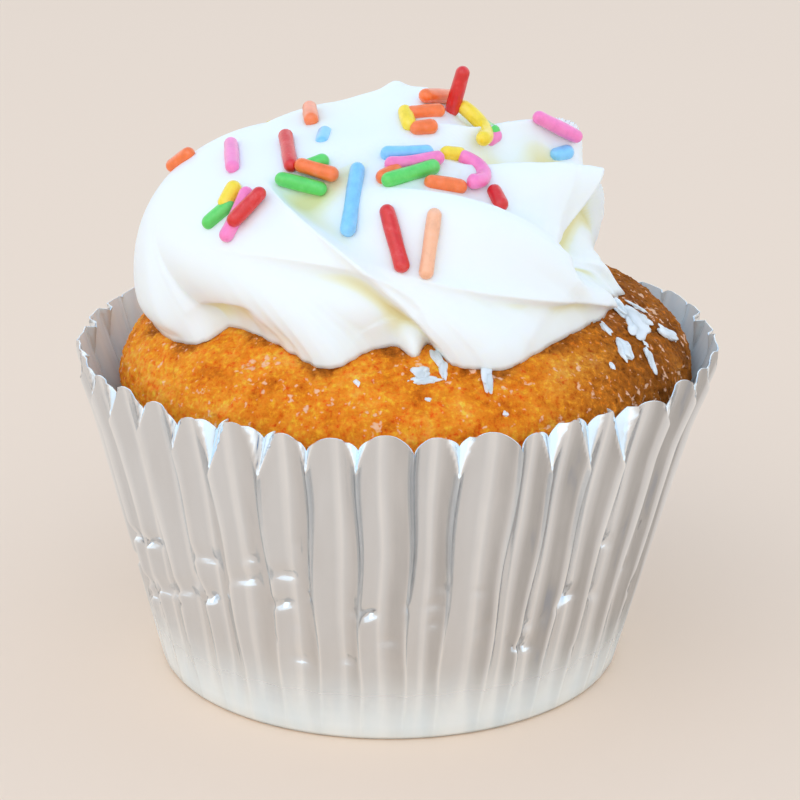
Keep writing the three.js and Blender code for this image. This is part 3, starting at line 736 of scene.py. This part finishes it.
def foldRelief(points, normals):
    relief = np.zeros(len(points))
    for fold in folds:
        start, through, end = [np.array(place, float) for place in fold["path"]]
        control = 2 * through - 0.5 * (start + end)
        share = np.linspace(0, 1, foldSteps + 1)[:, None]
        curve = (1 - share) ** 2 * start + 2 * share * (1 - share) * control + share ** 2 * end
        line = meanSwirl(curve[:, 0], curve[:, 1])
        distance = np.full(len(points), 1e9)
        along = np.zeros(len(points))
        side = np.zeros(len(points))
        for step in range(foldSteps):
            run = line[step + 1] - line[step]
            away = points - line[step]
            part = np.clip(away @ run / (run @ run), 0, 1)
            away = away - part[:, None] * run
            far = np.linalg.norm(away, axis=1)
            nearer = far < distance
            turn = np.einsum("ij,ij->i", np.cross(run, away), normals)
            turn = np.clip(turn / (np.linalg.norm(run) * np.maximum(far, 1e-9)), -1, 1)
            distance = np.where(nearer, far, distance)
            along = np.where(nearer, (step + part) / foldSteps, along)
            side = np.where(nearer, turn, side)
        strength = np.ones(len(points))
        starting, ending = fold.get("fade", (0, 0))
        if starting:
            strength = strength * smooth(along / starting)
        if ending:
            strength = strength * smooth((1 - along) / ending)
        for key, sign in (("up", 1), ("down", -1)):
            first, last, width = fold[key]
            offset = distance / width
            drop = mix(first, last, along) * strength * offset * np.exp(1 - offset)
            relief -= drop * np.clip(side * sign, 0, 1)
        if "lift" in fold:
            first, last, width = fold["lift"]
            relief += mix(first, last, along) * strength * np.exp(-(distance / width) ** 2)
    return relief


def topCurl(points):
    aside = (points[:, :2] - topTurn["middle"]) / topTurn["spread"]
    curl = topTurn["rise"] * np.exp(-np.hypot(aside[:, 0], aside[:, 1]) ** 3)
    for x, y in topTurn["blobs"]:
        away = (points[:, 0] - x) ** 2 + (points[:, 1] - y) ** 2
        curl += topTurn["blobRise"] * np.exp(-away / topTurn["blobRadius"] ** 2)
    return curl


def swirlSurface(azimuth, climb, gap=cake["gap"]):
    azimuth, climb = np.broadcast_arrays(np.asarray(azimuth, float), np.asarray(climb, float))
    shape = azimuth.shape
    azimuth = azimuth.ravel()
    climb = climb.ravel()
    points = meanSwirl(azimuth, climb)
    normals = meanNormal(azimuth, climb)
    relief = foldRelief(points, normals)
    lobe = footRadius(azimuth - swirlTurn(climb)) - swirlReach(azimuth)
    atFoot = (azimuth - swirlTurn(climb) + 180) % 360 - 180
    front = smooth((atFoot + 58) / 8) * smooth((70 - atFoot) / 10)
    hollow = mix(swirlSize["sideHollowReach"], swirlSize["hollowReach"], front)
    reach = np.where(lobe > 0, swirlSize["lobeReach"], hollow)
    angle = np.radians(azimuth)
    outward = np.stack([np.sin(angle), -np.cos(angle), 0 * angle], axis=1)
    points = points + normals * relief[:, None]
    points = points + outward * (lobe * np.exp(-(np.maximum(climb, 0) / reach) ** 1.5))[:, None]
    beside = ((azimuth - looseBit["azimuth"]) / looseBit["halfWidth"]) ** 2
    bit = looseBit["reach"] * np.exp(-beside - (climb / looseBit["climb"]) ** 2)
    points = points + outward * bit[:, None]
    points[:, 2] += topCurl(points)
    seat = crustHeight(points[:, 0], points[:, 1]) + gap
    points[:, 2] += (seat - swirlSize["foot"]) * np.exp(-(climb / swirlSize["seatReach"]) ** 2)
    return points.reshape(shape + (3,))


def blur(grid, reach, wrap):
    # gaussian blur along the first axis, over reach steps
    steps = np.arange(-3 * reach, 3 * reach + 1)
    weights = np.exp(-0.5 * (steps / reach) ** 2)
    weights /= weights.sum()
    mode = "wrap" if wrap else "edge"
    padded = np.pad(grid, [(3 * reach, 3 * reach)] + [(0, 0)] * (grid.ndim - 1), mode=mode)
    total = np.zeros_like(grid)
    for weight, start in zip(weights, range(len(weights))):
        total += weight * padded[start:start + len(grid)]
    return total


def makeSwirl(material):
    columns, rows = swirlSize["columns"], swirlSize["rows"]
    around = 360.0 / columns * np.arange(columns)
    climbs = np.linspace(0, 0.9995, rows)
    climbGrid, aroundGrid = np.meshgrid(climbs, around, indexing="ij")
    grid = swirlSurface(aroundGrid + swirlTurn(climbGrid), climbGrid, gap=swirlSize["seatGap"])
    east = np.roll(grid, -1, axis=1) - np.roll(grid, 1, axis=1)
    normals = unit(np.cross(east, np.gradient(grid, axis=0)))
    soft = blur(grid, swirlSize["rowBlur"], False)
    soft = blur(soft.transpose(1, 0, 2), swirlSize["columnBlur"], True).transpose(1, 0, 2)
    # painted shade: how far a place lies below its blurred surroundings becomes a cream-yellow tint in the
    # creases
    hollow = np.einsum("ijk,ijk->ij", soft - grid, normals)
    hollow[:3 * swirlSize["rowBlur"]] *= np.linspace(0, 1, 3 * swirlSize["rowBlur"])[:, None]
    turned = (aroundGrid + swirlTurn(climbGrid)) % 360.0
    # painted shade on the right-hand folds, away from the light
    rightShade = smooth((turned - 50) / 22) * smooth((108 - turned) / 14)
    rightShade = rightShade * smooth((climbGrid - 0.14) / 0.08) * smooth((0.72 - climbGrid) / 0.12)
    hollow += swirlSize["rightSideShade"] * swirlSize["valleyShadeDepth"] * rightShade

    # a plain spun wall whose points are then set from the grid by their row and column
    rowStep = 0.5
    wall = [(10.0 + row * 0.01, row * rowStep) for row in range(rows)]
    bm = spunProfile([(0.0, 0.0)] + wall + [(0.0, rows * rowStep)], columns)
    points = readPoints(bm)
    azimuth = np.degrees(np.arctan2(points[:, 0], -points[:, 1])) % 360.0
    column = np.rint(azimuth / 360.0 * columns).astype(int) % columns
    row = np.clip(np.rint(points[:, 2] / rowStep).astype(int), 0, rows - 1)
    onAxis = np.hypot(points[:, 0], points[:, 1]) < 1e-3
    placed = grid[row, column]
    placed[onAxis & (row == 0)] = (swirlSize["shift"], 0, float(domeHeight(0.0)) - 0.15)
    placed[onAxis & (row == rows - 1)] = grid[-1].mean(axis=0)
    writePoints(bm, placed)
    bmesh.ops.recalc_face_normals(bm, faces=bm.faces)
    piece = meshObject(bm, "buttercreamSwirl", material)
    layer = piece.data.attributes.new("paintedValleyShade", "FLOAT", "POINT")
    shade = np.clip(hollow[row, column] / swirlSize["valleyShadeDepth"], -1, 1) * 0.5 + 0.5
    layer.data.foreach_set("value", shade)
    return piece


# the sprinkles

rod = {
    "radius": 0.80,
    "segments": 14,
    "seating": 0.45,           # height of the axis over the icing, in radii
    "swell": 0.035,
    "backCount": 13,
    "backLength": 7.4,
}

candy = {
    "Pink": (1.0, 0.23, 0.55),
    "Red": (0.74, 0.018, 0.016),
    "Orange": (1.0, 0.20, 0.04),
    "Peach": (0.98, 0.50, 0.30),
    "Blue": (0.25, 0.63, 0.98),
    "Green": (0.11, 0.68, 0.12),
    "Yellow": (1.0, 0.74, 0.03),
}

# colour, then azimuth and climb of both ends. The rest is optional: length, bend, sink,
# and rise of the far end.
sprinkles = [
    ("Orange", -94, 0.44, -90, 0.52),
    ("Pink", -74, 0.66, -57, 0.59),
    ("Yellow", -48, 0.51, -47, 0.45),
    ("Pink", -42, 0.50, -41, 0.34, {"bend": 14}),
    ("Red", -37, 0.50, -40, 0.39, {"sink": -0.8}),
    ("Green", -49, 0.37, -46, 0.44, {"sink": 0.3}),
    ("Red", -57, 0.78, -36, 0.66),
    ("Orange", -32, 0.67, -20, 0.68, {"sink": -0.6}),
    ("Green", -36, 0.60, -23, 0.63, {"sink": -0.3}),
    ("Green", -26, 0.71, -30, 0.68),
    ("Orange", -73, 0.88, -110, 0.87),
    ("Blue", -48, 0.87, -38, 0.82, {"sink": 0.9}),
    ("Blue", -9, 0.70, -9, 0.38, {"length": 9.4}),
    ("Red", 3, 0.49, 6, 0.29),
    ("Peach", 16, 0.45, 12, 0.26),
    ("Blue", 5, 0.77, 26, 0.77),
    ("Pink", 6, 0.70, 29, 0.73, {"bend": -16, "sink": -0.4}),
    ("Green", 4, 0.62, 24, 0.70, {"sink": -0.2}),
    ("Orange", 2, 0.65, 7, 0.68),
    ("Orange", 20, 0.62, 31, 0.60),
    ("Pink", 53, 0.72, 42, 0.57, {"bend": 140, "length": 7.8, "sink": -0.5}),
    ("Yellow", 38, 0.76, 45, 0.75),
    ("Yellow", 92, 0.82, 68, 0.73, {"bend": 100, "sink": -1.5}),
    ("Orange", 71, 0.92, 113, 0.85, {"sink": -0.5}),
    ("Orange", 38, 0.91, 63, 0.88),
    ("Orange", 31, 0.86, 41, 0.85),
    ("Yellow", 33, 0.92, 27, 0.88),
    ("Red", 84, 0.86, 80, 0.88, {"rise": 3.7, "length": 5.8}),
    ("Green", 104, 0.75, 76, 0.73, {"sink": 1.0}),
    ("Pink", 73, 0.73, 76, 0.72, {"sink": 0.8}),
    ("Pink", 95, 0.62, 100, 0.48, {"sink": -0.3}),
    ("Blue", 95, 0.50, 97, 0.47, {"sink": 0.6}),
    ("Red", 44, 0.55, 42, 0.48, {"length": 3.4, "sink": 0.3}),
]
backColours = ["Pink", "Green", "Orange", "Blue", "Red", "Yellow", "Peach"]


def backSprinkles():
    rows = []
    for number in range(rod["backCount"]):
        azimuth = 124 + 8.0 * number + 5 * uneven(number, 2)
        climb = 0.56 + 0.15 * uneven(number, 5) - 0.014 * number
        turn = 2.6 * uneven(number, 7)
        rows.append((backColours[number % len(backColours)], azimuth - 8 * math.cos(turn),
                     climb - 0.10 * math.sin(turn), azimuth + 8 * math.cos(turn),
                     climb + 0.10 * math.sin(turn), {"length": rod["backLength"]}))
    return rows


def makeRod(row, ends, normals, rng):
    options = row[5] if len(row) > 5 else {}
    thick = rod["radius"] * rng.uniform(0.96, 1.04)
    lift = rod["seating"] - options.get("sink", 0)
    first = Vector(ends[0] + normals[0] * lift * thick)
    second = Vector(ends[1] + normals[1] * (lift * thick + options.get("rise", 0)))
    along = (second - first).normalized()
    length = options.get("length", (second - first).length + 2 * thick)
    bend = math.radians(options.get("bend", 0))
    half = 0.5 * length - thick
    turns = [math.pi * step / rod["segments"] for step in range(rod["segments"] // 2 + 1)]
    cap = [(thick * math.sin(turn), -half - thick * math.cos(turn)) for turn in turns]
    joints = 5 + int(abs(bend) * 6)
    body = [(thick, mix(-half, half, (joint + 1) / (joints + 1))) for joint in range(joints)]
    bm = spunProfile(cap + body + [(radius, -z) for radius, z in reversed(cap)], rod["segments"])
    for vert in bm.verts:
        x, y, z = vert.co / mm
        swell = 1 + rod["swell"] * math.sin(1.3 * z + row[1])
        x *= swell
        y *= swell
        if bend:
            radius = 2 * half / bend
            turn = z / radius
            x, z = radius - (radius - x) * math.cos(turn), (radius - x) * math.sin(turn)
        vert.co = Vector((x, y, z)) * mm
    middle = first + along * half if "length" in options else (first + second) * 0.5
    outward = Vector(normals[0] + normals[1]).normalized()
    side = along.cross(outward).normalized()
    frontward = side.cross(along)
    turned = Matrix((side, frontward, along)).transposed().to_4x4()
    bmesh.ops.transform(bm, matrix=Matrix.Translation(middle * mm) @ turned, verts=bm.verts)
    return bm


def makeSprinkles():
    rng = random.Random(3)
    rows = sprinkles + backSprinkles()
    azimuth = np.array([[row[1], row[3]] for row in rows], float)
    climb = np.array([[row[2], row[4]] for row in rows], float)
    ends = swirlSurface(azimuth, climb)
    east = swirlSurface(azimuth + 2, climb) - swirlSurface(azimuth - 2, climb)
    up = swirlSurface(azimuth, climb + 0.02) - swirlSurface(azimuth, climb - 0.02)
    normals = unit(np.cross(east, up))
    pieces = []
    for name, colour in candy.items():
        bm = bmesh.new()
        for number, row in enumerate(rows):
            if row[0] == name:
                one = makeRod(row, ends[number], normals[number], rng)
                loose = bpy.data.meshes.new("rod")
                one.to_mesh(loose)
                one.free()
                bm.from_mesh(loose)
                bpy.data.meshes.remove(loose)
        material = makeCandyMaterial("sprinkle " + name.lower(), colour)
        pieces.append(meshObject(bm, "sprinkles" + name, material))
    return pieces


# the white flakes of icing on the crust

flakeForm = {
    "lift": 0.1,
    "lumps": 0.9,
    "thickness": 0.36,         # share of the width
    "widestCounted": 1.4,
    "smears": 3,               # in a flake longer than 1 mm
    "randomSeed": 11,
}

# x, y, length, width, turn
flakes = [
    (23.9, -7.5, 3.5, 1.6, -136),
    (26.2, -4.7, 2.5, 0.7, -89),
    (26.1, -9.3, 4.7, 2.9, -161),
    (26.4, -7.4, 3.0, 1.8, -40),
    (29.2, -6.3, 3.4, 1.5, -53),
    (22.2, -13.3, 2.0, 0.8, -107),
    (24.0, -14.9, 3.4, 1.6, -128),
    (22.5, -18.5, 0.8, 0.8, -48),
    (26.9, -13.8, 2.7, 1.0, -124),
    (26.5, -12.0, 0.8, 0.7, -77),
    (2.9, -26.5, 2.9, 0.9, 4),
    (2.7, -25.9, 1.2, 1.1, -1),
    (2.5, -25.8, 1.7, 1.3, -89),
    (4.2, -23.8, 2.4, 0.9, -77),
    (4.8, -25.2, 2.2, 0.8, -87),
    (9.2, -25.4, 3.5, 1.0, -104),
    (-3.9, -26.5, 0.9, 0.5, -68),
    (3.3, -28.3, 0.8, 0.5, -18),
    (11.1, -28.2, 0.6, 0.5, -30),
]


def makeFlakes(material):
    rng = random.Random(flakeForm["randomSeed"])
    bm = bmesh.new()
    for x, y, length, width, turn in flakes:
        east = float(crustHeight(x + 0.3, y) - crustHeight(x - 0.3, y)) / 0.6
        north = float(crustHeight(x, y + 0.3) - crustHeight(x, y - 0.3)) / 0.6
        outward = Vector((-east, -north, 1)).normalized()
        seat = Vector((x, y, float(crustHeight(x, y)))) + outward * flakeForm["lift"]
        lie = outward.to_track_quat("Z", "Y").to_matrix().to_4x4()
        move = Matrix.Translation(seat * mm) @ lie @ Matrix.Rotation(math.radians(turn), 4, "Z")
        # a few smears of cream that run into each other
        for smear in range(flakeForm["smears"] if length > 1 else 1):
            made = bmesh.ops.create_icosphere(bm, subdivisions=3, radius=0.5 * mm)["verts"]
            lumps = Vector((rng.uniform(0, 9), rng.uniform(0, 9), rng.uniform(0, 9)))
            share = 1.0 if smear == 0 else rng.uniform(0.45, 0.7)
            aside = 0.0 if smear == 0 else 0.3
            slip = Vector((aside * length * rng.uniform(-1, 1), aside * width * rng.choice((-1, 1)), 0)) * mm
            for vert in made:
                vert.co *= 1 + flakeForm["lumps"] * noise.noise(vert.co / mm * 2.0 + lumps)
                vert.co.x *= length * share
                vert.co.y *= width * share * (1 - 0.5 * vert.co.x / mm / length)
                vert.co.z *= min(width, flakeForm["widestCounted"]) * flakeForm["thickness"]
                vert.co += slip
            bmesh.ops.transform(bm, matrix=move, verts=made)
    bmesh.ops.recalc_face_normals(bm, faces=bm.faces)
    return meshObject(bm, "icingFlakes", material)


# camera, lights and floor

cameraPlace = {
    "location": (0.00042, -0.300, 0.13641),
    "pitch": 19.651,
    "lens": 128.72,
}


def makeCamera():
    data = bpy.data.cameras.new("camera")
    data.sensor_width = 36.0
    data.lens = cameraPlace["lens"]
    data.clip_start = 0.01
    camera = bpy.data.objects.new("camera", data)
    camera.location = cameraPlace["location"]
    camera.rotation_euler = (math.radians(90 - cameraPlace["pitch"]), 0, 0)
    bpy.context.scene.collection.objects.link(camera)
    bpy.context.scene.camera = camera


def makeFloor():
    material, nodes, links, shader, coords = newMaterial("floor")
    tone = noiseNode(nodes, links, coords, 3.0, 2.0)
    links.new(rampNode(nodes, links, tone, [(0.3, (0.915, 0.705, 0.545)), (0.7, (0.93, 0.72, 0.56))]),
              shader.inputs["Base Color"])
    shader.inputs["Roughness"].default_value = 0.9
    shader.inputs["Specular IOR Level"].default_value = 0.0
    bm = bmesh.new()
    bmesh.ops.create_grid(bm, x_segments=2, y_segments=2, size=2.0)
    floor = meshObject(bm, "floor", material)


studio = {
    "world": 1.22,
    "lamps": {      # place, size, energy, colour
        "window": ((-0.18, -0.45, 0.60), 0.70, 1.1, (1.0, 1.0, 1.0)),
    },
}


def areaLight(name, location, size, energy, colour):
    data = bpy.data.lights.new(name, "AREA")
    data.size = size
    data.energy = energy
    data.color = colour
    light = bpy.data.objects.new(name, data)
    light.location = location
    aim = Vector((0, 0, 0.04)) - Vector(location)
    light.rotation_euler = aim.to_track_quat("-Z", "Y").to_euler()
    bpy.context.scene.collection.objects.link(light)


def makeLights():
    world = bpy.data.worlds.new("studio")
    bpy.context.scene.world = world
    world.use_nodes = True
    nodes = world.node_tree.nodes
    links = world.node_tree.links
    coords = nodes.new("ShaderNodeTexCoord")
    split = nodes.new("ShaderNodeSeparateXYZ")
    links.new(coords.outputs["Generated"], split.inputs["Vector"])
    sky = rampNode(nodes, links, split.outputs["Z"], [(0.0, (0.92, 0.93, 0.94)), (0.25, (0.93, 0.97, 1.0)),
                                                      (0.60, (0.80, 0.90, 1.0)), (0.85, (0.42, 0.58, 0.80))])
    links.new(sky, nodes["Background"].inputs["Color"])
    nodes["Background"].inputs["Strength"].default_value = studio["world"]
    bpy.context.scene.view_settings.view_transform = "Standard"
    for name, row in studio["lamps"].items():
        areaLight(name, *row)


makeCamera()
makeFloor()
makeLights()
print("camera, floor and lights done")

foilPiece = makeFoilCase(makeFoilMaterial())
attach(foilPiece, "root")
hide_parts("foil_case")
print("foil case done")

cakePiece = makeCake(makeCrumbMaterial())
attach(cakePiece, "root")
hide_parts("cake")
print("cake done")

creamMaterial = makeCreamMaterial()
swirlPiece = makeSwirl(creamMaterial)
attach(swirlPiece, "root")
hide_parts("buttercream")
print("buttercream swirl done")

for sprinklePiece in makeSprinkles():
    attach(sprinklePiece, "root")
    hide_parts("buttercream")
print("sprinkles done")

flakePiece = makeFlakes(makeCreamMaterial("icing flakes"))
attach(flakePiece, "root")
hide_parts("cake")
print("flakes done")
